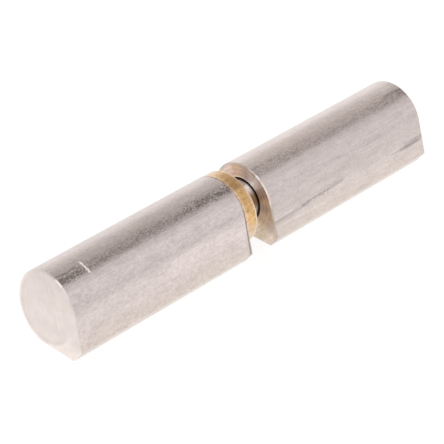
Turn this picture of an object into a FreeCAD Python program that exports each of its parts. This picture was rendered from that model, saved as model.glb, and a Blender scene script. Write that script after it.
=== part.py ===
"""Weld-on barrel hinge with a lift-off leaf.

Two drawn steel barrels of drop-shaped section lie in line.  A pin is pressed
into the fixed barrel, a brass bearing ring sits on the pin against the fixed
barrel's inner face, and the lift-off barrel turns on the pin's free end.

Millimetres.  The hinge axis is X, with the origin on it at the fixed barrel's
inner face.  The lower flanks of both barrels lie flat, facing -Z, and the weld
noses point towards -Y and down.
"""
import FreeCAD, Part
import math
import os

import Sketcher

SIZES = (
    ("barrel_diameter", 16.0, "round part of the drop-shaped section"),
    ("nose_reach", 11.0, "hinge axis to the flat of the weld nose"),
    ("nose_width", 3.4, "width of that flat between sharp corners"),
    ("nose_corner", 0.45, "drawn corner radius of the weld nose"),
    ("barrel_length", 46.5, "length of each barrel, along the hinge axis"),
    ("saw_lean", 4.5, "degrees by which the fixed barrel's outer end is out of square"),
    ("saw_waste", 2.0, "stock that the saw takes off beyond that end"),
    ("edge_break", 0.25, "deburred edge round each end face"),
    ("pin_diameter", 9.0, "ground pin"),
    ("pin_seat", 38.0, "pressed length in the fixed barrel"),
    ("pin_reach", 42.0, "free length beyond the fixed barrel"),
    ("pin_lead", 1.0, "lead-in chamfer at both ends of the pin"),
    ("drill_angle", 118.0, "point angle of the drilled bores"),
    ("seat_mouth", 0.4, "countersink width at the fixed barrel's bore"),
    ("turning_mouth", 0.35, "countersink width at the lift-off barrel's bore"),
    ("running_clearance", 0.05, "radial clearance of the pin in the lift-off barrel"),
    ("tip_clearance", 2.0, "bore left beyond the pin when the lift-off leaf is seated"),
    ("ring_clearance", 0.1, "radial clearance of the bearing ring on the pin"),
    ("ring_wall", 2.9, "bearing ring from its hole to its outside"),
    ("ring_thickness", 3.5, "bearing ring along the axis"),
    ("ring_edge", 0.3, "chamfer of the bearing ring's edges"),
    ("open_gap", 3.5, "bearing ring to lift-off barrel, as it lies pulled apart"),
)

ON_PLANE = 1e-6
EDGE_POINTS = 5
# how a sketch counts the points of a curve, its own origin and its x axis
START, END, CENTRE = range(1, 4)
ORIGIN_POINT = (-1, START)
AXIS_LINE = -1


def make_sheet(doc):
    """Keep the driving dimensions in a sheet, one alias to a cell."""
    sheet = doc.addObject("Spreadsheet::Sheet", "sizes")
    for row, (name, value, note) in enumerate(SIZES, start=1):
        sheet.set("A%d" % row, note)
        sheet.set("B%d" % row, str(value))
        sheet.setAlias("B%d" % row, name)
    doc.recompute()
    return sheet


def new_body(doc, name):
    body = doc.addObject("PartDesign::Body", name)
    body.Label = name
    return body


def plane_sketch(body, name, plane):
    """Start a sketch on one of the body's own planes."""
    sketch = body.newObject("Sketcher::SketchObject", name)
    support = [f for f in body.Origin.OriginFeatures if f.Role == plane][0]
    sketch.AttachmentSupport = [(support, "")]
    sketch.MapMode = "FlatFace"
    return sketch


def section_sketch(body, name):
    """Start a sketch across the hinge axis: its x is Y and its y is Z."""
    return plane_sketch(body, name, "YZ_Plane")


def bind_constraint(sketch, index, name, expression):
    sketch.renameConstraint(index, name)
    sketch.setExpression("Constraints." + name, expression)


def centred_circle(sketch, radius, name, expression):
    circle = Part.Circle(FreeCAD.Vector(), FreeCAD.Vector(0, 0, 1), radius)
    curve = sketch.addGeometry(circle, False)
    sketch.addConstraint(Sketcher.Constraint("Coincident", curve, CENTRE, *ORIGIN_POINT))
    size = sketch.addConstraint(Sketcher.Constraint("Diameter", curve, 2 * radius))
    bind_constraint(sketch, size, name, expression)


def barrel_section(body, sheet):
    """Draw the drop: a round back, two tangent flanks and a flat nose.

    The lower flank is level, and the upper one is its mirror image in the
    line from the hinge axis to the middle of the nose.
    """
    radius = sheet.barrel_diameter / 2
    half_width = sheet.nose_width / 2
    corner = math.hypot(sheet.nose_reach, half_width)
    flank = math.sqrt(corner ** 2 - radius ** 2)
    half_angle = math.asin(radius / corner) - math.atan2(half_width, sheet.nose_reach)
    low = 1.5 * math.pi
    high = low - math.pi + 2 * half_angle

    def point(distance, angle):
        return FreeCAD.Vector(distance * math.cos(angle), distance * math.sin(angle), 0)

    low_tangent = point(radius, low)
    high_tangent = point(radius, high)
    low_corner = low_tangent + point(flank, math.pi)
    high_corner = high_tangent + point(flank, high + math.pi / 2)
    round_back = Part.Circle(FreeCAD.Vector(), FreeCAD.Vector(0, 0, 1), radius)

    sketch = section_sketch(body, "drop_section")
    back = sketch.addGeometry(Part.ArcOfCircle(round_back, low, high + 2 * math.pi), False)
    lower = sketch.addGeometry(Part.LineSegment(low_tangent, low_corner), False)
    nose = sketch.addGeometry(Part.LineSegment(low_corner, high_corner), False)
    upper = sketch.addGeometry(Part.LineSegment(high_corner, high_tangent), False)
    for rule in (
        ("Coincident", back, CENTRE, *ORIGIN_POINT),
        ("Tangent", back, START, lower, START),
        ("Coincident", lower, END, nose, START),
        ("Coincident", nose, END, upper, START),
        ("Tangent", upper, END, back, END),
        ("Horizontal", lower),
        ("Equal", lower, upper),
    ):
        sketch.addConstraint(Sketcher.Constraint(*rule))
    size = sketch.addConstraint(Sketcher.Constraint("Diameter", back, 2 * radius))
    bind_constraint(sketch, size, "round_size", "sizes.barrel_diameter")
    size = sketch.addConstraint(Sketcher.Constraint("Distance", nose, sheet.nose_width))
    bind_constraint(sketch, size, "flat_size", "sizes.nose_width")
    reach = Sketcher.Constraint("Distance", *ORIGIN_POINT, nose, sheet.nose_reach)
    bind_constraint(sketch, sketch.addConstraint(reach), "reach_size", "sizes.nose_reach")
    return sketch


def pad(doc, body, sketch, name, expression, backwards=False):
    feature = body.newObject("PartDesign::Pad", name)
    feature.Profile = sketch
    feature.Reversed = backwards
    feature.setExpression("Length", expression)
    doc.recompute()
    return feature


def dress_edges(doc, body, base, kind, name, size, chosen):
    """Fillet or chamfer the edges of base that the test picks."""
    edges = ["Edge%d" % (i + 1) for i, edge in enumerate(base.Shape.Edges) if chosen(edge)]
    feature = body.newObject("PartDesign::" + kind, name)
    feature.Base = (base, edges)
    feature.setExpression("Radius" if kind == "Fillet" else "Size", size)
    doc.recompute()
    return feature


def lies_in_cut(edge, place, lean=0.0):
    """True where the whole edge lies in the cut that crosses the axis at place."""
    slope = math.tan(math.radians(lean))
    return all(
        abs(point.x - place - slope * point.z) < ON_PLANE for point in edge.discretize(EDGE_POINTS)
    )


def saw_off(doc, sheet, body):
    """Saw the fixed barrel's outer end off, longer at the bottom than at the top."""
    place = -sheet.barrel_length
    tall = 2 * sheet.nose_reach
    slope = math.tan(math.radians(sheet.saw_lean))
    shift = slope * tall / 2
    sketch = plane_sketch(body, "saw_kerf", "XZ_Plane")
    bottom = FreeCAD.Vector(place - shift, -tall / 2, 0)
    top = FreeCAD.Vector(place + shift, tall / 2, 0)
    clear = place - 2 * sheet.saw_waste
    clear_top = FreeCAD.Vector(clear, tall / 2, 0)
    clear_bottom = FreeCAD.Vector(clear, -tall / 2, 0)
    on_axis = sketch.addGeometry(Part.Point(FreeCAD.Vector(place, 0, 0)), True)
    cut = sketch.addGeometry(Part.LineSegment(bottom, top), False)
    above = sketch.addGeometry(Part.LineSegment(top, clear_top), False)
    beyond = sketch.addGeometry(Part.LineSegment(clear_top, clear_bottom), False)
    below = sketch.addGeometry(Part.LineSegment(clear_bottom, bottom), False)
    for rule in (
        ("PointOnObject", on_axis, START, AXIS_LINE),
        ("Symmetric", cut, START, cut, END, on_axis, START),
        ("Coincident", cut, END, above, START),
        ("Coincident", above, END, beyond, START),
        ("Coincident", beyond, END, below, START),
        ("Coincident", below, END, cut, START),
        ("Horizontal", above),
        ("Vertical", beyond),
        ("Horizontal", below),
    ):
        sketch.addConstraint(Sketcher.Constraint(*rule))
    size = Sketcher.Constraint("DistanceX", on_axis, START, *ORIGIN_POINT, -place)
    bind_constraint(sketch, sketch.addConstraint(size), "cut_place", "sizes.barrel_length")
    lean = Sketcher.Constraint("Angle", cut, math.pi / 2 - math.radians(sheet.saw_lean))
    bind_constraint(sketch, sketch.addConstraint(lean), "cut_lean", "90 deg - sizes.saw_lean * 1 deg")
    size = Sketcher.Constraint("DistanceY", cut, START, cut, END, tall)
    bind_constraint(sketch, sketch.addConstraint(size), "cut_height", "2 * sizes.nose_reach")
    size = Sketcher.Constraint("DistanceX", beyond, END, on_axis, START, place - clear)
    bind_constraint(sketch, sketch.addConstraint(size), "clear_of_stock", "2 * sizes.saw_waste")
    doc.recompute()
    kerf = body.newObject("PartDesign::Pocket", "sawn_end")
    kerf.Profile = sketch
    kerf.SideType = "Symmetric"
    kerf.setExpression("Length", "4 * sizes.nose_reach")
    doc.recompute()
    return kerf


def add_blank(doc, sheet, body, backwards, sawn=False):
    """Make the drawn blank of a barrel, cut to length and deburred."""
    radius = sheet.barrel_diameter / 2
    inner = 0.0
    outer = -sheet.barrel_length if backwards else sheet.barrel_length
    lean = sheet.saw_lean if sawn else 0.0
    length = "sizes.barrel_length" + (" + sizes.saw_waste" if sawn else "")
    section = barrel_section(body, sheet)
    blank = pad(doc, body, section, "drawn_blank", length, backwards)

    def is_nose_corner(edge):
        box = edge.BoundBox
        place = math.hypot(box.Center.y, box.Center.z)
        return box.XLength > sheet.barrel_length / 2 and place > radius + ON_PLANE

    def is_end_outline(edge):
        return lies_in_cut(edge, inner) or lies_in_cut(edge, outer, lean)

    drawn = dress_edges(
        doc, body, blank, "Fillet", "nose_corners", "sizes.nose_corner", is_nose_corner
    )
    if sawn:
        drawn = saw_off(doc, sheet, body)
    return dress_edges(
        doc, body, drawn, "Chamfer", "deburred_ends", "sizes.edge_break", is_end_outline
    )


def drill(doc, sheet, body, name, diameter, depth, mouth, backwards):
    """Drill a blind bore with a countersunk mouth from the inner face."""
    centre_mark = sheet.pin_diameter / 2
    sketch = section_sketch(body, name + "_centre")
    centred_circle(sketch, centre_mark, "bore_size", diameter)
    doc.recompute()
    hole = body.newObject("PartDesign::Hole", name)
    hole.Profile = sketch
    hole.Reversed = backwards
    doc.recompute()
    hole.Threaded = False
    hole.DepthType = "Dimension"
    hole.DrillPoint = "Angled"
    hole.HoleCutType = "Countersink"
    hole.setExpression("Diameter", diameter)
    hole.setExpression("Depth", depth)
    hole.setExpression("DrillPointAngle", "sizes.drill_angle")
    hole.HoleCutCountersinkAngle = 90.0
    hole.setExpression("HoleCutDiameter", "%s + 2 * %s" % (diameter, mouth))
    doc.recompute()
    return hole


def make_fixed_barrel(doc, sheet):
    body = new_body(doc, "fixed_barrel")
    add_blank(doc, sheet, body, backwards=True, sawn=True)
    drill(
        doc, sheet, body, "pin_seat", "sizes.pin_diameter", "sizes.pin_seat",
        "sizes.seat_mouth", backwards=False,
    )
    return body


def make_lift_off_barrel(doc, sheet):
    body = new_body(doc, "lift_off_barrel")
    add_blank(doc, sheet, body, backwards=False)
    drill(
        doc, sheet, body, "turning_bore", "sizes.pin_diameter + 2 * sizes.running_clearance",
        "sizes.pin_reach - sizes.ring_thickness + sizes.tip_clearance",
        "sizes.turning_mouth", backwards=True,
    )
    body.setExpression("Placement.Base.x", "sizes.ring_thickness + sizes.open_gap")
    return body


def make_pin(doc, sheet):
    body = new_body(doc, "hinge_pin")
    sketch = section_sketch(body, "pin_section")
    centred_circle(sketch, sheet.pin_diameter / 2, "pin_size", "sizes.pin_diameter")
    rod = pad(doc, body, sketch, "ground_rod", "sizes.pin_seat + sizes.pin_reach")
    dress_edges(
        doc, body, rod, "Chamfer", "pin_ends", "sizes.pin_lead",
        lambda edge: edge.BoundBox.XLength < ON_PLANE,
    )
    body.setExpression("Placement.Base.x", "-sizes.pin_seat")
    return body


def make_ring(doc, sheet):
    body = new_body(doc, "bearing_ring")
    hole = "sizes.pin_diameter + 2 * sizes.ring_clearance"
    hole_radius = sheet.pin_diameter / 2 + sheet.ring_clearance
    ring_radius = hole_radius + sheet.ring_wall
    sketch = section_sketch(body, "ring_section")
    centred_circle(sketch, ring_radius, "ring_size", hole + " + 2 * sizes.ring_wall")
    centred_circle(sketch, hole_radius, "ring_hole", hole)
    slice_off = pad(doc, body, sketch, "turned_blank", "sizes.ring_thickness")
    dress_edges(
        doc, body, slice_off, "Chamfer", "ring_edges", "sizes.ring_edge",
        lambda edge: edge.BoundBox.XLength < ON_PLANE,
    )
    return body


def check(doc, bodies):
    """Refuse a document in which anything failed to build."""
    for item in doc.Objects:
        if "Invalid" in item.State or "Error" in item.State:
            raise RuntimeError("%s failed: %s" % (item.Name, item.State))
    for body in bodies:
        shape = body.Shape
        if shape.isNull() or not shape.isValid() or len(shape.Solids) != 1:
            raise RuntimeError("%s is not one valid solid" % body.Label)


def main():
    os.makedirs("parts", exist_ok=True)
    doc = FreeCAD.newDocument("weld_on_barrel_hinge")
    sheet = make_sheet(doc)
    bodies = [
        make_fixed_barrel(doc, sheet),
        make_pin(doc, sheet),
        make_ring(doc, sheet),
        make_lift_off_barrel(doc, sheet),
    ]
    doc.recompute()
    check(doc, bodies)
    for body in bodies:
        box = body.Shape.BoundBox
        print("%-16s %9.2f mm3  x %.2f to %.2f" % (body.Label, body.Shape.Volume, box.XMin, box.XMax))
        body.Shape.exportStep("parts/%s.step" % body.Label)


main()
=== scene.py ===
"""Finish and studio for a weld-on barrel hinge lying on a light table.

The frame holds two drawn steel barrels in line, the pin pressed into the fixed
one and the brass bearing ring between them.  Here each of them gets its
surface, and a turned ring with the tool's feed marks takes the plain one's
place.  Metres, in the frame's own axes: X is the hinge axis, and the noses
point to -Y.  Patterns on the surfaces are laid out in millimetres.
"""
import math
import typing

import bpy
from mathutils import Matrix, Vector


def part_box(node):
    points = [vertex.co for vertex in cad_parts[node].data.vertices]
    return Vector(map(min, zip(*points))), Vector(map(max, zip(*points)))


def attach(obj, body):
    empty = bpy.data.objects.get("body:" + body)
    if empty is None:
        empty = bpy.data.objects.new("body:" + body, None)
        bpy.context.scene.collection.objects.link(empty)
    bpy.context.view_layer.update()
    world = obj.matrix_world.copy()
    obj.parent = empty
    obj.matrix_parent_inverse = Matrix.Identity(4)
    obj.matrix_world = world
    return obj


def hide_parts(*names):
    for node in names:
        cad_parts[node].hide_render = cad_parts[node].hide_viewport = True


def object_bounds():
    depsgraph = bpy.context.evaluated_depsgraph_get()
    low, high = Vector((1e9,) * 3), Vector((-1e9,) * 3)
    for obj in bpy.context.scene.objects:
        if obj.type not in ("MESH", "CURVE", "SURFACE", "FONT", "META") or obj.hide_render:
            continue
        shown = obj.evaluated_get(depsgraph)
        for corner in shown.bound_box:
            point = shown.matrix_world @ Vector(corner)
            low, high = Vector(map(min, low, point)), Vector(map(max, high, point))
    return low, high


bl_info = {
    "name": "Weld-on barrel hinge finish",
    "version": (1, 0, 0),
    "blender": (4, 5, 0),
    "location": "3D View > Sidebar > Hinge",
    "description": "Finishes a drawn steel weld-on hinge with a brass bearing ring",
    "category": "Object",
}

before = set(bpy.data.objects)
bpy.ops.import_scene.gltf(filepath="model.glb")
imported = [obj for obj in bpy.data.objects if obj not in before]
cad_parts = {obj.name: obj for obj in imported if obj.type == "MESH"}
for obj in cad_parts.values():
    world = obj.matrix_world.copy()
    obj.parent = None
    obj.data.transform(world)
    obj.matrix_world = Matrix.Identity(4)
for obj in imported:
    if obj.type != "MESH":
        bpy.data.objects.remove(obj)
cad_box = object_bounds()

MM = 0.001
RING_BODY = "bearing ring"
RING_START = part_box("bearing_ring")[0].x

# The bar's section, in millimetres: the back is round, and the flanks lean in to the nose.
BARREL_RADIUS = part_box("fixed_barrel")[1].y / MM
BORE_MOUTH_RADIUS = 4.9
BORE_RADIUS = 4.55
FLANK_LEAN = math.radians(15.66)

# The saw's arcs: their radius in millimetres, and how far above level their centre lies.
SAW_SWING = 45.0
SAW_LEAN = math.radians(24)

# Depth of the relief on each finish, in millimetres.
DRAWN_RELIEF = 0.02
GROUND_RELIEF = 0.008
TURNED_RELIEF = 0.03

# How finely the ring is turned: points to one feed mark, and steps round the ring.
POINTS_TO_A_MARK = 6.0
STEPS_ROUND = 160

# The point on the axis that the camera looks past, and by how much, in millimetres.
AIM_X, AIM_RIGHT, AIM_UP = 3.5, -1.813, -3.326
SENSOR_WIDTH = 36

# Half the side of the light table, in metres.
TABLE_HALF = 3.0

# Brightness of the room by degrees from the table's edge behind the hinge, over the top.
ROOM_LIGHT = (
    (0, 1.1), (8, 1.09), (15, 1.04), (24, 0.95), (33, 0.84), (43, 0.77), (55, 0.69),
    (66, 0.61), (78, 0.54), (90, 0.50), (100, 0.47), (108, 0.22), (150, 0.19), (180, 0.17),
)
# From how many degrees on the room is warmest, and how much green and blue it lacks there.
WARMEST, LESS_GREEN, LESS_BLUE = 86, 0.055, 0.085


class Mark(typing.NamedTuple):
    """One line on a surface, in millimetres.

    It lies across one measure at its middle, and runs from start to end along
    another.  A change of -0.3 takes 30 % of the light away there, and a
    positive one adds some.
    """

    across: str
    start: float
    end: float
    middle: float
    slope: float
    width: float
    wander: float
    change: float


# Where the pickling pits of the fixed barrel lie close together.
FIXED_PITTING = (
    Mark("around", -60, 14, 15.6, 0.0, 2.5, 0.3, -0.31),
    Mark("around", -62, -38, 15.9, 0.0, 1.8, 0.2, -0.25),
    Mark("around", -14, 12, 15.3, 0.0, 2.6, 0.2, -0.33),
)
# Long bands round the bar, dark patches near both ends, and painted shade in dark lines along the
# inner end's edge beside the ring.
FIXED_MARKS = (
    Mark("around", -60, 14, 16.0, 0.0, 1.5, 0.3, -0.1),
    Mark("around", -47.5, -40.2, 14.6, 0.0, 0.5, 0.5, -0.3),
    Mark("around", -47.5, -41.0, 15.05, 0.0, 0.3, 0.4, 0.2),
    Mark("around", -47.5, -39.5, 15.9, 0.0, 1.2, 0.2, -0.2),
    Mark("around", -10, 1.5, 15.3, 0.0, 1.3, 0.2, -0.15),
    # Painted shade: dark lines along the inner end's edge, beside the ring.
    Mark("x", 18.0, 34.0, 1.17, -0.065, 0.38, 0.0, -0.58),
    Mark("x", 3.0, 13.0, -0.4, 0.0, 0.36, 0.0, -0.35),
    Mark("around", -60, 14, 22.1, 0.0, 2.0, 0.2, -0.09),
    Mark("around", -60, 14, 13.2, 0.0, 4.0, 0.2, -0.07),
    Mark("around", -60, 14, 17.4, 0.0, 1.8, 0.2, -0.05),
    Mark("around", -60, 14, 20.0, 0.0, 3.0, 0.2, 0.05),
    Mark("down", -24, 6, 1.4, 0.0, 4.0, 0.1, 0.06),
)
FIXED_SCRATCH = Mark("x", 13.8, 17.3, -39.4, 0.03, 0.42, 0.05, 1.0)
# Where the pickling pits of the lift-off barrel lie close together.
LIFT_PITTING = (
    Mark("around", 0, 62, 15.4, 0.0, 2.8, 0.4, -0.16),
    Mark("around", 10.0, 21.0, 15.6, 0.0, 2.4, 0.4, -0.16),
    Mark("around", 44.0, 58.0, 15.6, 0.0, 2.2, 0.4, -0.18),
    Mark("down", 14.0, 24.5, 4.35, -0.03, 1.3, 0.1, -0.28),
)
# Bands on the back and die lines on the flank, dark at both ends.
LIFT_MARKS = (
    Mark("around", 0, 46, 16.0, 0.0, 2.6, 0.3, 0.05),
    Mark("down", 5.0, 13.5, 4.5, 0.0, 1.1, 0.1, -0.14),
    Mark("down", 6.0, 18.5, 4.4, -0.025, 0.6, 0.1, -0.19),
    Mark("down", 15.0, 29.0, 4.2, -0.03, 0.6, 0.1, -0.22),
    Mark("down", 8.0, 29.0, 3.3, -0.02, 0.3, 0.1, -0.1),
    Mark("down", 7.0, 19.0, 2.3, 0.0, 0.35, 0.1, -0.08),
    Mark("down", 33.5, 40.5, 3.4, 0.0, 0.4, 0.1, -0.09),
    Mark("down", 42.5, 53.2, 4.15, 0.0, 0.42, 0.1, -0.22),
    Mark("down", 45.5, 52.6, 4.1, 0.0, 0.95, 0.1, -0.2),
    Mark("down", 47.0, 53.6, 3.7, 0.0, 1.5, 0.1, -0.15),
    Mark("down", 49.0, 56.0, 3.5, 0.0, 0.4, 0.1, -0.15),
    Mark("down", 8.0, 50.0, 5.6, 0.0, 0.35, 0.3, 0.05),
    Mark("around", 47.5, 56.0, 14.8, 0.0, 0.8, 0.1, -0.25),
    Mark("around", 51.0, 56.0, 15.6, 0.0, 1.6, 0.1, -0.18),
    Mark("around", 0.0, 62.0, 17.6, 0.0, 1.8, 0.2, -0.06),
    Mark("around", 5.0, 9.5, 14.7, 0.0, 0.6, 0.1, -0.25),
    Mark("down", -4.0, 66.0, -0.1, 0.0, 3.2, 0.2, -0.1),
    Mark("down", -4.0, 66.0, 2.1, 0.0, 3.0, 0.2, -0.09),
    Mark("around", 0.0, 62.0, 9.6, 0.0, 4.5, 0.2, 0.07),
    Mark("around", 0.0, 62.0, 14.0, 0.0, 3.5, 0.2, 0.07),
)
# The pin's painted highlight, a bright line along it, and a brown band beside the ring.
PIN_PAINTED_HIGHLIGHT = (
    Mark("around", 2.0, 12.0, 15.7, 0.0, 1.7, 0.1, 0.4),
)
PIN_BROWN_BAND = Mark("around", -8.0, 10.5, 21.2, 0.0, 6.0, 0.2, 1.0)
# Rays and patches on the faced end: painted highlights where the turned face would glint, and
# painted shade beside them.
FACED_PAINTED_RAYS = (
    Mark("around", 4.0, 9.5, 16.75, 0.0, 1.0, 0.1, 0.5),
    Mark("around", 4.0, 7.5, 15.6, 0.0, 2.2, 0.1, 0.3),
    Mark("around", 4.0, 9.5, 18.6, 0.0, 3.6, 0.2, 0.26),
    Mark("around", 4.0, 9.5, 13.4, 0.0, 1.4, 0.2, -0.12),
    Mark("around", 8.2, 14.0, 22.0, 0.0, 12.0, 0.0, -0.19),
    Mark("around", 4.0, 9.5, 24.8, 0.0, 2.4, 0.2, -0.25),
    Mark("around", 4.0, 9.5, 28.5, 0.0, 2.4, 0.2, -0.15),
    Mark("around", 7.0, 9.2, 24.6, 0.0, 3.6, 0.0, 0.34),
    Mark("around", 4.0, 9.5, 21.5, 0.0, 3.2, 0.1, 0.27),
    Mark("around", 4.0, 9.5, 26.6, 0.0, 1.8, 0.1, -0.09),
    Mark("around", 7.6, 8.8, 6.5, 0.0, 5.0, 0.0, -0.12),
)


def linear(colour):
    """Turn an sRGB colour, written 0xRRGGBB, into the linear one a shader takes."""
    channels = [(colour >> shift & 255) / 255 for shift in (16, 8, 0)]
    low = [c / 12.92 for c in channels]
    high = [((c + 0.055) / 1.055) ** 2.4 for c in channels]
    return tuple(a if c <= 0.04045 else b for c, a, b in zip(channels, low, high)) + (1.0,)


def add(tree, kind, inputs=(), **settings):
    """Add a node, set its settings and give its inputs values or links."""
    node = tree.nodes.new(kind)
    for name, value in settings.items():
        setattr(node, name, value)
    for name, value in dict(inputs).items():
        if isinstance(value, bpy.types.Node):
            value = value.outputs[0]
        if isinstance(value, bpy.types.NodeSocket):
            tree.links.new(value, node.inputs[name])
        else:
            node.inputs[name].default_value = value
    return node


class DrawnSteelSettings(bpy.types.PropertyGroup):
    """Surface of the cold drawn bar that both barrels are cut from."""

    colour: bpy.props.FloatVectorProperty(
        name="Colour", description="Bright drawn steel under its film of oil",
        subtype="COLOR", size=4, min=0, max=1, default=linear(0xD8CCC8),
    )
    nose_colour: bpy.props.FloatVectorProperty(
        name="Nose colour", description="The skin near the nose, where the oil has yellowed",
        subtype="COLOR", size=4, min=0, max=1, default=linear(0xD8CBC2),
    )
    sawn_colour: bpy.props.FloatVectorProperty(
        name="Sawn colour", description="Clean steel where the bar was sawn off",
        subtype="COLOR", size=4, min=0, max=1, default=linear(0xE6DBD7),
    )
    sawn_tint: bpy.props.FloatVectorProperty(
        name="Sawn tint", description="Where the sawn steel has a film of cutting oil",
        subtype="COLOR", size=4, min=0, max=1, default=linear(0xE4DAD4),
    )
    faced_colour: bpy.props.FloatVectorProperty(
        name="Faced colour", description="Steel faced on the lathe round the bore",
        subtype="COLOR", size=4, min=0, max=1, default=linear(0xE8D4CA),
    )
    faced_tint: bpy.props.FloatVectorProperty(
        name="Faced tint", description="Where old oil stains the faced steel",
        subtype="COLOR", size=4, min=0, max=1, default=linear(0xD4C6AE),
    )
    wiped_colour: bpy.props.FloatVectorProperty(
        name="Wiped colour", description="Where the faced steel is wiped clean of oil",
        subtype="COLOR", size=4, min=0, max=1, default=linear(0xE2DCDC),
    )
    # Painted shade: a near black colour in the countersink of the bore, for the shadow in it.
    painted_mouth_shade: bpy.props.FloatVectorProperty(
        name="Mouth colour", description="Painted shade in the countersink of the bore",
        subtype="COLOR", size=4, min=0, max=1, default=linear(0x3A281C),
    )
    bore_colour: bpy.props.FloatVectorProperty(
        name="Bore colour", description="Drilled steel inside the bore",
        subtype="COLOR", size=4, min=0, max=1, default=linear(0xA89C94),
    )
    roughness: bpy.props.FloatProperty(
        name="Roughness", description="Of the bright surface between its pits",
        subtype="FACTOR", min=0, max=1, default=0.27,
    )
    line_width: bpy.props.FloatProperty(
        name="Draw line width", description="Of the fine lines that the die leaves",
        unit="LENGTH", precision=5, default=0.45 * MM,
    )
    line_length: bpy.props.FloatProperty(
        name="Draw line length", description="How far one line runs along the bar",
        unit="LENGTH", default=9 * MM,
    )
    grain_size: bpy.props.FloatProperty(
        name="Grain size", description="Of the light and dark grains all over the skin",
        unit="LENGTH", precision=5, default=0.5 * MM,
    )
    pit_size: bpy.props.FloatProperty(
        name="Pit size", description="Of the pits that pickling leaves before drawing",
        unit="LENGTH", precision=5, default=0.34 * MM,
    )
    saw_pitch: bpy.props.FloatProperty(
        name="Saw pitch", description="From one saw mark to the next",
        unit="LENGTH", precision=5, default=0.6 * MM,
    )


class GroundSteelSettings(bpy.types.PropertyGroup):
    """Surface of the hardened pin."""

    colour: bpy.props.FloatVectorProperty(
        name="Colour", description="Ground and oiled steel",
        subtype="COLOR", size=4, min=0, max=1, default=linear(0xE4DAD4),
    )
    brown_band: bpy.props.FloatVectorProperty(
        name="Brown band", description="A brown band on the pin beside the ring",
        subtype="COLOR", size=4, min=0, max=1, default=linear(0x94785E),
    )
    roughness: bpy.props.FloatProperty(
        name="Roughness", description="Of the ground surface",
        subtype="FACTOR", min=0, max=1, default=0.3,
    )


class TurnedBrassSettings(bpy.types.PropertyGroup):
    """Form and surface of the turned bearing ring."""

    colour: bpy.props.FloatVectorProperty(
        name="Colour", description="Free cutting brass",
        subtype="COLOR", size=4, min=0, max=1, default=linear(0xE8BC82),
    )
    tarnish: bpy.props.FloatVectorProperty(
        name="Tarnish", description="Brass that has dulled in the tool marks",
        subtype="COLOR", size=4, min=0, max=1, default=linear(0xAC834A),
    )
    # The edge colour is also that of the painted highlights along the far edge and on the foot.
    edge_colour: bpy.props.FloatVectorProperty(
        name="Edge colour", description="Brass that is rubbed bright at the ring's edges",
        subtype="COLOR", size=4, min=0, max=1, default=linear(0xF2D8C2),
    )
    oil: bpy.props.FloatProperty(
        name="Oil", description="How much of the ring the film of oil covers",
        subtype="FACTOR", min=0, max=1, default=1.0,
    )
    roughness: bpy.props.FloatProperty(
        name="Roughness", description="Of the turned surface",
        subtype="FACTOR", min=0, max=1, default=0.28,
    )
    outer_radius: bpy.props.FloatProperty(
        name="Outer radius", description="Of the rim, which is flush with the barrels",
        unit="LENGTH", precision=5, default=7.95 * MM,
    )
    thickness: bpy.props.FloatProperty(
        name="Thickness", description="Of the ring, along the hinge axis",
        unit="LENGTH", precision=5, default=3.0 * MM,
    )
    bore_radius: bpy.props.FloatProperty(
        name="Bore radius", description="Of the hole that the pin runs in",
        unit="LENGTH", precision=5, default=4.6 * MM,
    )
    edge_break: bpy.props.FloatProperty(
        name="Edge break", description="Radius on the ring's edges",
        unit="LENGTH", precision=5, default=0.12 * MM,
    )
    feed: bpy.props.FloatProperty(
        name="Feed", description="From one tool mark to the next along the ring",
        unit="LENGTH", precision=5, default=0.35 * MM,
    )
    mark_depth: bpy.props.FloatProperty(
        name="Mark depth", description="Depth of the deepest tool mark",
        unit="LENGTH", precision=6, default=0.02 * MM,
    )


class StudioSettings(bpy.types.PropertyGroup):
    """Light table, softboxes and camera."""

    azimuth: bpy.props.FloatProperty(
        name="Azimuth", description="Of the camera, from -Y towards +X",
        unit="ROTATION", subtype="ANGLE", default=math.radians(-45.54),
    )
    elevation: bpy.props.FloatProperty(
        name="Elevation", description="Of the camera above the table",
        unit="ROTATION", subtype="ANGLE", default=math.radians(33.77),
    )
    distance: bpy.props.FloatProperty(
        name="Distance", description="Camera to the middle of the hinge",
        unit="LENGTH", default=434.5 * MM,
    )
    lens: bpy.props.FloatProperty(
        name="Lens", description="Focal length in millimetres on a 36 mm sensor",
        default=173.6,
    )
    table_light: bpy.props.FloatProperty(
        name="Table light", description="How brightly the table shines from below",
        min=0, default=0.85,
    )
    softbox_light: bpy.props.FloatProperty(
        name="Softbox light", description="Brightness of the softbox in front",
        min=0, default=0.72,
    )
    side_light: bpy.props.FloatProperty(
        name="Side light", description="Brightness of the softbox at the fixed leaf's end",
        min=0, default=0.6,
    )


class HingeSettings(bpy.types.PropertyGroup):
    """All that a user would change."""

    steel: bpy.props.PointerProperty(type=DrawnSteelSettings)
    ground: bpy.props.PointerProperty(type=GroundSteelSettings)
    brass: bpy.props.PointerProperty(type=TurnedBrassSettings)
    studio: bpy.props.PointerProperty(type=StudioSettings)


def new_material(name):
    """Start a material, and give its places in millimetres, so a noise scale of 2 is 0.5 mm."""
    material = bpy.data.materials.new(name)
    material.use_nodes = True
    tree = material.node_tree
    tree.nodes.clear()
    place = add(tree, "ShaderNodeTexCoord").outputs["Object"]
    in_mm = add(tree, "ShaderNodeMapping", {"Vector": place, "Scale": (1 / MM,) * 3})
    return material, tree, in_mm.outputs[0]


def metal(tree, colour, rough, height, depth, coat=()):
    """End a material as metal, with its colour, its roughness and a relief of some depth."""
    relief = add(
        tree, "ShaderNodeBump", {"Strength": 1.0, "Distance": depth * MM, "Height": height}
    )
    shader = add(
        tree, "ShaderNodeBsdfPrincipled",
        {
            "Metallic": 1.0, "Base Color": colour, "Roughness": rough, "Normal": relief,
            **dict(coat),
        },
    )
    add(tree, "ShaderNodeOutputMaterial", {"Surface": shader})


def give(node_name, material):
    """Put a material on a node of the frame."""
    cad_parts[node_name].material_slots[0].material = material


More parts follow.
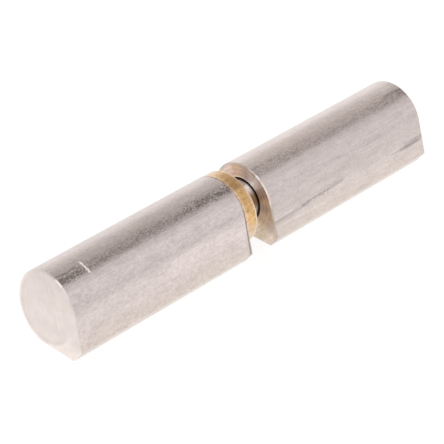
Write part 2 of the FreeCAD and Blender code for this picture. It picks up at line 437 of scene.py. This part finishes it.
def band(tree, value, middle, half, soft):
    """Mask the places where value lies within half of middle, with a soft edge."""
    off = add(tree, "ShaderNodeMath", {0: value, 1: middle}, operation="SUBTRACT")
    off = add(tree, "ShaderNodeMath", {0: off}, operation="ABSOLUTE")
    return add(
        tree, "ShaderNodeMapRange",
        {"Value": off, "From Min": half, "From Max": half + soft, "To Min": 1, "To Max": 0},
        interpolation_type="SMOOTHSTEP",
    )


def lay_over(tree, level, *layers):
    """Start from a level, and add each pattern to it by its share."""
    for pattern, share in layers:
        level = add(
            tree, "ShaderNodeMath", {0: pattern, 1: share, 2: level}, operation="MULTIPLY_ADD"
        )
    return level


def weigh(tree, tone, mask, change):
    """Multiply the tone by 1 + change where the mask is 1."""
    factor = lay_over(tree, 1.0, (mask, change))
    return add(tree, "ShaderNodeMath", {0: tone, 1: factor}, operation="MULTIPLY")


def line_mark(tree, along, across, mark):
    """Mask one mark, which wanders a little and fades to its sides and ends."""
    half = (mark.end - mark.start) / 2
    drift = add(
        tree, "ShaderNodeTexNoise", {"W": along, "Scale": 0.15, "Detail": 2.0},
        noise_dimensions="1D",
    )
    line = lay_over(
        tree, mark.middle + 2 * mark.wander, (drift, -4 * mark.wander), (along, mark.slope)
    )
    core = band(tree, across, line, half=0.15 * mark.width, soft=0.6 * mark.width)
    ends = band(tree, along, mark.start + half, half=0.75 * half, soft=0.25 * half)
    return add(tree, "ShaderNodeMath", {0: core, 1: ends}, operation="MULTIPLY")


def draw_marks(tree, tone, places, marks, along="x"):
    """Change the tone under each mark.  A mark that lies across x runs round the bar."""
    for mark in marks:
        run = "around" if mark.across == "x" else along
        line = line_mark(tree, places[run], places[mark.across], mark)
        tone = weigh(tree, tone, line, mark.change)
    return tone


def drawn_out(tree, place, size, detail):
    """Make grain that is longer one way, from the size of a grain along each axis."""
    stretched = add(
        tree, "ShaderNodeMapping", {"Vector": place, "Scale": [1 / side for side in size]}
    )
    return add(tree, "ShaderNodeTexNoise", {"Vector": stretched, "Scale": 1.0, "Detail": detail})


def tinted(tree, tone, first, second, place, scale):
    """Colour a tone with two tints that lie in patches."""
    patches = add(tree, "ShaderNodeTexNoise", {"Vector": place, "Scale": scale, "Detail": 1.0})
    share = add(
        tree, "ShaderNodeMapRange", {"Value": patches, "From Min": 0.35, "From Max": 0.65}
    )
    tint = add(
        tree, "ShaderNodeMix", {0: share, 6: tuple(first), 7: tuple(second)}, data_type="RGBA"
    ).outputs[2]
    return add(tree, "ShaderNodeVectorMath", {0: tint, "Scale": tone}, operation="SCALE")


def uneven(tree, roughness, pattern, smoother, rougher):
    """Let the roughness follow a pattern, a little to both sides of what is set."""
    return add(
        tree, "ShaderNodeMapRange",
        {
            "Value": pattern, "From Min": 0.3, "From Max": 0.7,
            "To Min": roughness - smoother, "To Max": roughness + rougher,
        },
    )


def off_axis(tree, place):
    """Measure how far a place lies from the axis along X."""
    flat = add(tree, "ShaderNodeVectorMath", {0: place, 1: (0, 1, 1)}, operation="MULTIPLY")
    return add(tree, "ShaderNodeVectorMath", {0: flat}, operation="LENGTH").outputs["Value"]


def barrel_places(tree, place):
    """Measure along the bar, round its back, down its upper flank and out from its axis."""
    x, y, z = add(tree, "ShaderNodeSeparateXYZ", {0: place}).outputs
    front = add(tree, "ShaderNodeMath", {0: y, 1: -1.0}, operation="MULTIPLY")
    angle = add(tree, "ShaderNodeMath", {0: front, 1: z}, operation="ARCTAN2")
    around = lay_over(tree, BARREL_RADIUS * math.pi / 2, (angle, BARREL_RADIUS))
    flank = (0, -math.sin(FLANK_LEAN), -math.cos(FLANK_LEAN))
    down = add(tree, "ShaderNodeVectorMath", {0: place, 1: flank}, operation="DOT_PRODUCT")
    return {
        "x": x, "z": z, "around": around.outputs[0],
        "down": down.outputs["Value"], "out": off_axis(tree, place),
    }


def skin(tree, place, places, settings, grain_depth, pitting, marks):
    """Tone, grain and height of the drawn skin: lines, clouds, grain, pits and marks.

    Real draw lines are under 0.1 mm wide, too fine to show in the render, and
    these are as coarse as they need to be.
    """
    length, width = settings.line_length / MM, settings.line_width / MM
    grain_size = settings.grain_size / MM
    lines = drawn_out(tree, place, size=(length, width, width), detail=3.0)
    clouds = drawn_out(tree, place, size=(10 / 3, 1.25, 1.25), detail=2.0)
    grain = drawn_out(tree, place, size=(grain_size / 0.6, grain_size, grain_size), detail=2.0)
    even = 0.77 - grain_depth / 2
    tone = lay_over(tree, even, (lines, 0.2), (clouds, 0.26), (grain, grain_depth))

    specks = add(
        tree, "ShaderNodeTexNoise",
        {"Vector": place, "Scale": MM / settings.pit_size, "Detail": 2.0, "Roughness": 0.6},
    )
    pits, sparks = (
        add(
            tree, "ShaderNodeMapRange", {"Value": specks, "From Min": none, "From Max": full},
            interpolation_type="SMOOTHSTEP",
        )
        for none, full in ((0.47, 0.6), (0.42, 0.32))
    )
    pitted = lay_over(tree, pits, (sparks, -0.9))
    for mark in pitting:
        zone = line_mark(tree, places["x"], places[mark.across], mark)
        dark = add(tree, "ShaderNodeMath", {0: zone, 1: pitted}, operation="MULTIPLY")
        tone = weigh(tree, tone, dark, mark.change)
    tone = draw_marks(tree, tone, places, marks)
    height = lay_over(tree, lines, (pits, -0.3))
    return tone, grain, height


def end_masks(tree, sawn_side):
    """Mask the sawn end, the faced end, and the broken edges of both."""
    normal = add(tree, "ShaderNodeTexCoord").outputs["Normal"]
    facing = add(
        tree, "ShaderNodeVectorMath", {0: normal, 1: (sawn_side, 0, 0)}, operation="DOT_PRODUCT"
    ).outputs["Value"]
    sawn, faced = (
        add(
            tree, "ShaderNodeMapRange",
            {"Value": facing, "From Min": 0.5 * side, "From Max": 0.6 * side},
        )
        for side in (1, -1)
    )
    steep = add(tree, "ShaderNodeMath", {0: facing}, operation="ABSOLUTE")
    return sawn, faced, band(tree, steep, middle=0.72, half=0.12, soft=0.06)


def sawn_end(tree, place, places, edge, settings):
    """Colour and height of the sawn end: faint shallow arcs, painted shade over its top, painted
    light on its lower rim and nose, and a painted glint on its top edge.
    """
    pivot = (0, -SAW_SWING * math.cos(SAW_LEAN), SAW_SWING * math.sin(SAW_LEAN))
    reach = add(tree, "ShaderNodeVectorMath", {0: place, 1: pivot}, operation="SUBTRACT")
    bent = add(tree, "ShaderNodeTexNoise", {"Vector": place, "Scale": 0.25, "Detail": 2.0})
    waver = 1.5
    arc = lay_over(tree, off_axis(tree, reach), (bent, waver))
    saw = add(
        tree, "ShaderNodeTexNoise", {"W": arc, "Scale": MM / settings.saw_pitch, "Detail": 3.0},
        noise_dimensions="1D",
    )
    patch = add(tree, "ShaderNodeTexNoise", {"Vector": place, "Scale": 0.45, "Detail": 3.0})
    tone = lay_over(tree, 0.83, (saw, 0.12), (patch, 0.22))

    # Painted shade: the upper part of the end is darker.
    high = add(
        tree, "ShaderNodeMapRange", {"Value": places["z"], "From Min": 0.5, "From Max": 7.0}
    )
    tone = weigh(tree, tone, high, change=-0.09)
    # Painted light: the rim on the lower side and the nose are lighter.
    side = add(
        tree, "ShaderNodeVectorMath", {0: place, 1: (0, 0.6, -0.8)}, operation="DOT_PRODUCT"
    ).outputs["Value"]
    lower, rim = (
        add(
            tree, "ShaderNodeMapRange", {"Value": value, "From Min": none, "From Max": full},
            interpolation_type="SMOOTHSTEP",
        )
        for value, none, full in ((side, -3.0, 2.0), (places["out"], 7.0, 7.8))
    )
    groove = band(tree, places["out"], middle=6.9, half=0.1, soft=0.3)
    for ring, change in ((rim, 0.14), (groove, -0.04)):
        ring = add(tree, "ShaderNodeMath", {0: ring, 1: lower}, operation="MULTIPLY")
        tone = weigh(tree, tone, ring, change)
    tone = weigh(tree, tone, edge, change=0.04)
    # Painted highlight: a glint on the broken edge at the top.
    glint = band(tree, places["around"], middle=15.9, half=0.7, soft=0.6)
    glint = add(tree, "ShaderNodeMath", {0: glint, 1: edge}, operation="MULTIPLY")
    tone = weigh(tree, tone, glint, change=0.4)
    colour = tinted(tree, tone, settings.sawn_colour, settings.sawn_tint, place, scale=0.22)
    return colour, saw


def faced_end(tree, place, places, edge, settings):
    """Colour and height of the faced end: turned rings, stains, painted rays of highlight and
    shade, and a painted highlight on the bore's edge.
    """
    rings = add(
        tree, "ShaderNodeTexNoise", {"W": places["out"], "Scale": 2.2, "Detail": 3.0},
        noise_dimensions="1D",
    )
    stains = add(tree, "ShaderNodeTexNoise", {"Vector": place, "Scale": 0.5, "Detail": 3.0})
    flecks = add(tree, "ShaderNodeTexNoise", {"Vector": place, "Scale": 2.2, "Detail": 2.0})
    tone = lay_over(tree, 0.32, (rings, 0.4), (stains, 0.5), (flecks, 0.4))

    # Painted highlight: a bright line round the edge of the bore's mouth, over its top.
    mouth = band(tree, places["out"], BORE_MOUTH_RADIUS + 0.13, half=0.08, soft=0.08)
    above = band(tree, places["around"], middle=12.0, half=3.0, soft=3.5)
    mouth = add(tree, "ShaderNodeMath", {0: mouth, 1: above}, operation="MULTIPLY")
    tone = weigh(tree, tone, mouth, change=0.5)
    # Painted highlights and painted shade, in rays round the bore.
    tone = draw_marks(tree, tone, places, FACED_PAINTED_RAYS, along="out")
    tone = weigh(tree, tone, edge, change=0.03)

    stained = tinted(tree, tone, settings.faced_colour, settings.faced_tint, place, scale=0.3)
    clean = add(
        tree, "ShaderNodeVectorMath", {0: tuple(settings.wiped_colour)[:3], "Scale": tone},
        operation="SCALE",
    )
    wiped = band(tree, places["around"], middle=17.0, half=3.2, soft=2.4)
    # The broken edges are half wiped all the way round.
    wiped = add(tree, "ShaderNodeMix", {0: edge, 2: wiped, 3: 0.5})
    colour = add(tree, "ShaderNodeMix", {0: wiped, 6: stained, 7: clean}, data_type="RGBA")
    return colour.outputs[2], rings


def bored_hole(tree, places, settings):
    """Mask the bore, and colour its countersink dark with painted shade, and its drilled wall."""
    hole, wall = (
        add(
            tree, "ShaderNodeMapRange",
            {
                "Value": places["out"], "From Min": radius + full, "From Max": radius + none,
                "To Min": 1, "To Max": 0,
            },
        )
        for radius, full, none in ((BORE_MOUTH_RADIUS, -0.08, 0.02), (BORE_RADIUS, 0.02, 0.08))
    )
    colour = add(
        tree, "ShaderNodeMix",
        {0: wall, 6: tuple(settings.painted_mouth_shade), 7: tuple(settings.bore_colour)},
        data_type="RGBA",
    )
    return hole, colour.outputs[2]


def drawn_steel(name, settings, sawn_side, grain_depth, pitting, marks, scratches=()):
    """Cold drawn bright steel: silvery, with soft lines along it, fine pits and handling marks.

    One end is sawn and shows the saw's shallow arcs, and the other is faced on
    the lathe and shows rings round the bore.
    """
    material, tree, place = new_material(name)
    places = barrel_places(tree, place)
    tone, grain, height = skin(
        tree, place, places, settings, grain_depth, pitting, (*marks, *scratches)
    )
    near_nose = add(
        tree, "ShaderNodeMapRange", {"Value": places["down"], "From Min": 3.5, "From Max": 8.0}
    )
    oiled = add(
        tree, "ShaderNodeMix",
        {0: near_nose, 6: tuple(settings.colour), 7: tuple(settings.nose_colour)},
        data_type="RGBA",
    ).outputs[2]
    colour = add(tree, "ShaderNodeVectorMath", {0: oiled, "Scale": tone}, operation="SCALE")

    sawn, faced, edge = end_masks(tree, sawn_side)
    sawn_colour, saw = sawn_end(tree, place, places, edge, settings)
    faced_colour, rings = faced_end(tree, place, places, edge, settings)
    hole, hole_colour = bored_hole(tree, places, settings)
    hole = add(tree, "ShaderNodeMath", {0: hole, 1: sawn}, operation="SUBTRACT", use_clamp=True)
    for mask, over in ((sawn, sawn_colour), (faced, faced_colour), (hole, hole_colour)):
        colour = add(
            tree, "ShaderNodeMix", {0: mask, 6: colour, 7: over}, data_type="RGBA"
        ).outputs[2]
    for mask, relief in ((sawn, saw), (faced, rings)):
        height = add(tree, "ShaderNodeMix", {0: mask, 2: height, 3: relief})

    rough = uneven(tree, settings.roughness, grain, smoother=0.05, rougher=0.06)
    torn = [(line_mark(tree, places["around"], places["x"], mark), 0.7) for mark in scratches]
    rubbed = add(tree, "ShaderNodeMath", {0: edge, 1: faced}, operation="MULTIPLY")
    rough = lay_over(tree, rough, *torn, (sawn, 0.12), (faced, 0.14), (rubbed, 0.35))
    metal(tree, colour, rough, height, DRAWN_RELIEF)
    return material


def ground_steel(name, settings):
    """Centreless ground steel: smooth and bright, with very fine lines and a brown band beside
    the ring.

    The grinding lines are drawn 0.25 mm wide, because the real ones are too
    fine to show.
    """
    material, tree, place = new_material(name)
    places = barrel_places(tree, place)
    lines = drawn_out(tree, place, size=(0.25, 2.5, 2.5), detail=3.0)
    tone = lay_over(tree, 0.85, (lines, 0.3))
    # Painted highlight: the bright line along the pin.
    tone = draw_marks(tree, tone, places, PIN_PAINTED_HIGHLIGHT)
    # A brown band round the pin beside the ring.
    stained = line_mark(tree, places["x"], places["around"], PIN_BROWN_BAND)
    colour = add(
        tree, "ShaderNodeMix",
        {0: stained, 6: tuple(settings.colour), 7: tuple(settings.brown_band)}, data_type="RGBA",
    ).outputs[2]
    colour = add(tree, "ShaderNodeVectorMath", {0: colour, "Scale": tone}, operation="SCALE")
    rough = uneven(tree, settings.roughness, lines, smoother=0.04, rougher=0.06)
    metal(tree, colour, rough, lines, GROUND_RELIEF)
    return material


def rubbed_and_lit_edges(tree, place, x, grain, settings):
    """Mask where the ring is lighter: rubbed patches of both edges, and painted highlights along
    the far edge and on the foot.
    """
    worn_from, bright_from, foot = 0.6, 0.4, math.radians(192)
    half = settings.thickness / 2 / MM
    middle = RING_START / MM + half
    inside = band(tree, x, middle, half=half - worn_from, soft=0.4)
    edges = add(tree, "ShaderNodeMath", {0: 1.0, 1: inside}, operation="SUBTRACT")
    worn = add(tree, "ShaderNodeMapRange", {"Value": grain, "From Min": 0.4, "From Max": 0.6})
    edges = add(tree, "ShaderNodeMath", {0: edges, 1: worn}, operation="MULTIPLY")
    # Painted highlight along the far edge.
    far_face = middle + half
    far = add(
        tree, "ShaderNodeMapRange",
        {"Value": x, "From Min": far_face - bright_from, "From Max": far_face - 0.2},
    )
    # Painted highlight on the foot of the ring.
    rim = settings.outer_radius / MM
    low = add(
        tree, "ShaderNodeVectorMath", {0: place, 1: (0, math.cos(foot), math.sin(foot))},
        operation="DOT_PRODUCT",
    ).outputs["Value"]
    low = add(
        tree, "ShaderNodeMapRange",
        {"Value": low, "From Min": 0.96 * rim, "From Max": rim, "To Max": 0.4},
    )
    for brighter in (far, low):
        edges = add(tree, "ShaderNodeMath", {0: edges, 1: brighter}, operation="MAXIMUM")
    return edges


def turned_brass(name, settings):
    """Free cutting brass under a film of oil: warm yellow, with dull streaks, rubbed edges and
    painted highlights.

    The streaks run across the rim and the rings round it, laid out on the
    unrolled rim in millimetres and radians.
    """
    material, tree, place = new_material(name)
    x, y, z = add(tree, "ShaderNodeSeparateXYZ", {0: place}).outputs
    angle = add(tree, "ShaderNodeMath", {0: z, 1: y}, operation="ARCTAN2")
    unrolled = add(tree, "ShaderNodeCombineXYZ", {0: x, 1: angle})
    streaks = drawn_out(tree, unrolled, size=(1 / 0.35, 1 / 9, 1.0), detail=3.0)
    rings = drawn_out(tree, unrolled, size=(0.25, 1 / 1.2, 1.0), detail=2.0)
    grain = add(tree, "ShaderNodeTexNoise", {"Vector": place, "Scale": 2.5, "Detail": 3.0})
    dull = add(
        tree, "ShaderNodeMapRange",
        {
            "Value": lay_over(tree, 0.0, (streaks, 0.5), (rings, 0.2), (grain, 0.3)),
            "From Min": 0.42, "From Max": 0.62, "To Min": 0.0, "To Max": 0.8,
        },
    )
    colour = tuple(settings.colour)
    for mask, over in (
        (dull, settings.tarnish),
        (rubbed_and_lit_edges(tree, place, x, grain, settings), settings.edge_colour),
    ):
        colour = add(
            tree, "ShaderNodeMix", {0: mask, 6: colour, 7: tuple(over)}, data_type="RGBA"
        ).outputs[2]
    rough = uneven(tree, settings.roughness, grain, smoother=0.06, rougher=0.1)
    film = {"Coat Weight": settings.oil, "Coat Roughness": 0.12}
    metal(tree, colour, rough, grain, TURNED_RELIEF, film)
    return material


class HINGE_OT_finish_barrels(bpy.types.Operator):
    """Give both barrels their drawn steel surface"""

    bl_idname = "hinge.finish_barrels"
    bl_label = "Finish the barrels"

    def execute(self, context):
        steel = context.scene.hinge.steel
        fixed = drawn_steel(
            "drawn steel, fixed barrel", steel, sawn_side=-1, grain_depth=0.5,
            pitting=FIXED_PITTING, marks=FIXED_MARKS, scratches=(FIXED_SCRATCH,),
        )
        lift_off = drawn_steel(
            "drawn steel, lift-off barrel", steel, sawn_side=1, grain_depth=0.38,
            pitting=LIFT_PITTING, marks=LIFT_MARKS,
        )
        give("fixed_barrel", fixed)
        give("lift_off_barrel", lift_off)
        return {"FINISHED"}


class HINGE_OT_finish_pin(bpy.types.Operator):
    """Give the pin its ground surface"""

    bl_idname = "hinge.finish_pin"
    bl_label = "Finish the pin"

    def execute(self, context):
        give("hinge_pin", ground_steel("ground steel", context.scene.hinge.ground))
        return {"FINISHED"}


def lathe_tree():
    """Build the node tree that turns a ring with the marks of a slow feed on its rim.

    Real feed marks are half as far apart, and these are as coarse as they need
    to be to show in the render.
    """
    tree = bpy.data.node_groups.new("turned ring", "GeometryNodeTree")
    for name in ("Thickness", "Bore radius", "Outer radius", "Edge break", "Feed", "Mark depth"):
        tree.interface.new_socket(name, in_out="INPUT", socket_type="NodeSocketFloat")
    tree.interface.new_socket("Material", in_out="INPUT", socket_type="NodeSocketMaterial")
    tree.interface.new_socket("Geometry", in_out="OUTPUT", socket_type="NodeSocketGeometry")
    given = add(tree, "NodeGroupInput").outputs
    outer, bore = given["Outer radius"], given["Bore radius"]
    wall = add(tree, "ShaderNodeMath", {0: outer, 1: bore}, operation="SUBTRACT")
    both = add(tree, "ShaderNodeMath", {0: outer, 1: bore})
    middle = add(tree, "ShaderNodeMath", {0: both, 1: 0.5}, operation="MULTIPLY")
    section = add(
        tree, "GeometryNodeCurvePrimitiveQuadrilateral",
        {"Width": wall, "Height": given["Thickness"]}, mode="RECTANGLE",
    )
    section = add(
        tree, "GeometryNodeFilletCurve",
        {"Curve": section, "Count": 4, "Radius": given["Edge break"]}, mode="POLY",
    )
    step = add(
        tree, "ShaderNodeMath", {0: given["Feed"], 1: POINTS_TO_A_MARK}, operation="DIVIDE"
    )
    section = add(
        tree, "GeometryNodeResampleCurve", {"Curve": section, "Length": step}, mode="LENGTH"
    )

    at = add(tree, "ShaderNodeSeparateXYZ", {0: add(tree, "GeometryNodeInputPosition")}).outputs
    # Only the flat of the rim is cut, which lies half a wall out from the section's middle.
    near_rim = add(tree, "ShaderNodeMath", {0: wall, 1: 0.49}, operation="MULTIPLY")
    on_rim = add(
        tree, "FunctionNodeCompare", {0: at["X"], 1: near_rim},
        data_type="FLOAT", operation="GREATER_THAN",
    )
    turns = add(tree, "ShaderNodeMath", {0: at["Y"], 1: given["Feed"]}, operation="DIVIDE")
    phase = add(tree, "ShaderNodeMath", {0: turns, 1: math.pi}, operation="MULTIPLY")
    wave = add(tree, "ShaderNodeMath", {0: phase}, operation="SINE")
    chance = add(
        tree, "ShaderNodeTexNoise", {"W": turns, "Scale": 0.8, "Detail": 1.0},
        noise_dimensions="1D",
    )
    cut = wave
    for factor in (wave, chance, given["Mark depth"], -1.0):
        cut = add(tree, "ShaderNodeMath", {0: cut, 1: factor}, operation="MULTIPLY")
    inwards = add(tree, "ShaderNodeCombineXYZ", {"X": cut})
    section = add(
        tree, "GeometryNodeSetPosition",
        {"Geometry": section, "Selection": on_rim, "Offset": inwards},
    )

    path = add(
        tree, "GeometryNodeCurvePrimitiveCircle",
        {"Resolution": STEPS_ROUND, "Radius": middle}, mode="RADIUS",
    )
    ring = add(tree, "GeometryNodeCurveToMesh", {"Curve": path, "Profile Curve": section})
    ring = add(tree, "GeometryNodeSetShadeSmooth", {"Geometry": ring})
    ring = add(tree, "GeometryNodeRealizeInstances", {"Geometry": ring})
    ring = add(tree, "GeometryNodeSetMaterial", {"Geometry": ring, "Material": given["Material"]})
    add(tree, "NodeGroupOutput", {0: ring})
    return tree


def run_tree(name, tree, values):
    """Run a node tree with its inputs and keep the result as one plain mesh object."""
    host = bpy.data.objects.new(name + "_host", bpy.data.meshes.new(name + "_host"))
    bpy.context.scene.collection.objects.link(host)
    modifier = host.modifiers.new("nodes", "NODES")
    modifier.node_group = tree
    for socket in tree.interface.items_tree:
        if socket.in_out == "INPUT":
            modifier[socket.identifier] = values[socket.name]
    graph = bpy.context.evaluated_depsgraph_get()
    mesh = bpy.data.meshes.new_from_object(host.evaluated_get(graph), depsgraph=graph)
    host.modifiers.remove(modifier)
    bpy.data.objects.remove(host)
    mesh.name = name
    piece = bpy.data.objects.new(name, mesh)
    bpy.context.scene.collection.objects.link(piece)
    return piece


class HINGE_OT_turn_ring(bpy.types.Operator):
    """Turn the brass bearing ring between the barrels"""

    bl_idname = "hinge.turn_ring"
    bl_label = "Turn the bearing ring"

    def execute(self, context):
        brass = context.scene.hinge.brass
        ring = run_tree("turned_bearing_ring", lathe_tree(), {
            "Thickness": brass.thickness,
            "Bore radius": brass.bore_radius,
            "Outer radius": brass.outer_radius,
            "Edge break": brass.edge_break,
            "Feed": brass.feed,
            "Mark depth": brass.mark_depth,
            "Material": turned_brass("turned brass", brass),
        })
        mesh = ring.data
        middle = RING_START + brass.thickness / 2
        for vertex in mesh.vertices:
            across, up, along = vertex.co
            vertex.co = (along + middle, across, up)
        mesh.update()
        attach(ring, RING_BODY)
        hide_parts("bearing_ring")
        return {"FINISHED"}


def light_table(settings):
    """Lay the lit opal table that the hinge lies on."""
    mesh = bpy.data.meshes.new("light_table")
    corners = [
        (x * TABLE_HALF, y * TABLE_HALF, cad_box[0].z)
        for x, y in ((-1, -1), (1, -1), (1, 1), (-1, 1))
    ]
    mesh.from_pydata(corners, [], [(0, 1, 2, 3)])
    table = bpy.data.objects.new("light_table", mesh)
    bpy.context.scene.collection.objects.link(table)
    # Matt opal acrylic, lit from below: an even pale floor with hardly a shadow.
    material = bpy.data.materials.new("lit opal acrylic")
    material.use_nodes = True
    shader = material.node_tree.nodes["Principled BSDF"]
    shader.inputs["Base Color"].default_value = linear(0x8C8C8C)
    shader.inputs["Roughness"].default_value = 0.9
    shader.inputs["Specular IOR Level"].default_value = 0.0
    shader.inputs["Emission Color"].default_value = (1, 1, 1, 1)
    shader.inputs["Emission Strength"].default_value = settings.table_light
    mesh.materials.append(material)


def surroundings():
    """Light the room: bright at the table's edge behind, darker and warmer overhead."""
    world = bpy.data.worlds.new("studio")
    bpy.context.scene.world = world
    world.use_nodes = True
    tree = world.node_tree
    tree.nodes.clear()
    direction = add(tree, "ShaderNodeTexCoord").outputs["Generated"]
    parts = add(tree, "ShaderNodeSeparateXYZ", {0: direction})
    height = add(
        tree, "ShaderNodeMath", {0: parts.outputs["Z"], 1: parts.outputs["Y"]},
        operation="ARCTAN2",
    )
    turn = add(
        tree, "ShaderNodeMapRange", {"Value": height, "From Min": 0.0, "From Max": math.pi}
    )
    ramp = add(tree, "ShaderNodeValToRGB", {"Fac": turn})
    elements = ramp.color_ramp.elements
    while len(elements) < len(ROOM_LIGHT):
        elements.new(0.5)
    for element, (degrees, level) in zip(elements, ROOM_LIGHT):
        warm = min(degrees / WARMEST, 1)
        green, blue = (level * (1 - loss * warm) for loss in (LESS_GREEN, LESS_BLUE))
        element.position = degrees / 180
        element.color = (level, green, blue, 1)
    back = add(tree, "ShaderNodeBackground", {"Color": ramp, "Strength": 1.0})
    add(tree, "ShaderNodeOutputWorld", {"Surface": back})


def softbox(name, towards, reach, length, height, light, colour):
    """Hang a softbox, in metres, towards a direction, so that it faces the hinge."""
    data = bpy.data.lights.new(name, "AREA")
    data.shape = "RECTANGLE"
    data.size = length
    data.size_y = height
    # The watts that make every part of the softbox as bright as its light says.
    data.energy = light * math.pi * length * height
    data.color = colour[:3]
    lamp = bpy.data.objects.new(name, data)
    bpy.context.scene.collection.objects.link(lamp)
    lamp.location = towards * reach
    lamp.rotation_mode = "QUATERNION"
    lamp.rotation_quaternion = (-towards).to_track_quat("-Z", "Y")


def camera(settings):
    """Stand the camera where the photograph was taken from."""
    data = bpy.data.cameras.new("camera")
    data.lens = settings.lens
    data.sensor_width = SENSOR_WIDTH
    eye = bpy.data.objects.new("camera", data)
    bpy.context.scene.collection.objects.link(eye)
    bpy.context.scene.camera = eye
    az, el = settings.azimuth, settings.elevation
    back = Vector((math.sin(az) * math.cos(el), -math.cos(az) * math.cos(el), math.sin(el)))
    right = Vector((math.cos(az), math.sin(az), 0))
    up = back.cross(right)
    aim = Vector((AIM_X * MM, 0, 0)) + (AIM_RIGHT * right + AIM_UP * up) * MM
    eye.location = aim + back * settings.distance
    eye.rotation_mode = "QUATERNION"
    eye.rotation_quaternion = (-back).to_track_quat("-Z", "Y")


class HINGE_OT_set_stage(bpy.types.Operator):
    """Set up the light table, the lights and the camera"""

    bl_idname = "hinge.set_stage"
    bl_label = "Set the stage"

    def execute(self, context):
        studio = context.scene.hinge.studio
        light_table(studio)
        surroundings()
        # The front softbox fills these angles, as seen from the hinge, from +Y over the top.
        low, high = math.radians(181), math.radians(106)
        middle = (low + high) / 2
        front = Vector((0, math.cos(middle), math.sin(middle)))
        reach, length = 0.9, 4.0
        height = 2 * reach * math.tan((low - high) / 2)
        softbox(
            "front_softbox", front, reach, length, height, studio.softbox_light,
            linear(0xFBFCFF),
        )
        side = Vector((-0.75, -0.1, 0.65)).normalized()
        reach, width = 1.0, 0.7
        softbox(
            "side_softbox", side, reach, width, width, studio.side_light, linear(0xFFFCF8)
        )
        camera(studio)
        context.scene.view_settings.view_transform = "Standard"
        return {"FINISHED"}


OPERATORS = (
    HINGE_OT_finish_barrels,
    HINGE_OT_finish_pin,
    HINGE_OT_turn_ring,
    HINGE_OT_set_stage,
)


class HINGE_PT_sidebar(bpy.types.Panel):
    """Lists what can be made and changed"""

    bl_label = "Weld-on hinge"
    bl_space_type = "VIEW_3D"
    bl_region_type = "UI"
    bl_category = "Hinge"

    def draw(self, context):
        for operator in OPERATORS:
            self.layout.operator(operator.bl_idname)
        settings = context.scene.hinge
        for group in (settings.steel, settings.ground, settings.brass, settings.studio):
            box = self.layout.box()
            for name in group.__annotations__:
                box.prop(group, name)


CLASSES = (
    DrawnSteelSettings,
    GroundSteelSettings,
    TurnedBrassSettings,
    StudioSettings,
    HingeSettings,
) + OPERATORS + (HINGE_PT_sidebar,)


def register():
    """Register the settings, operators and panel."""
    for cls in CLASSES:
        bpy.utils.register_class(cls)
    bpy.types.Scene.hinge = bpy.props.PointerProperty(type=HingeSettings)


def unregister():
    """Take them out again."""
    del bpy.types.Scene.hinge
    for cls in reversed(CLASSES):
        bpy.utils.unregister_class(cls)


def main():
    """Finish the hinge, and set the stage."""
    register()
    bpy.ops.hinge.finish_barrels()
    bpy.ops.hinge.finish_pin()
    bpy.ops.hinge.turn_ring()
    bpy.ops.hinge.set_stage()


if __name__ == "__main__":
    main()
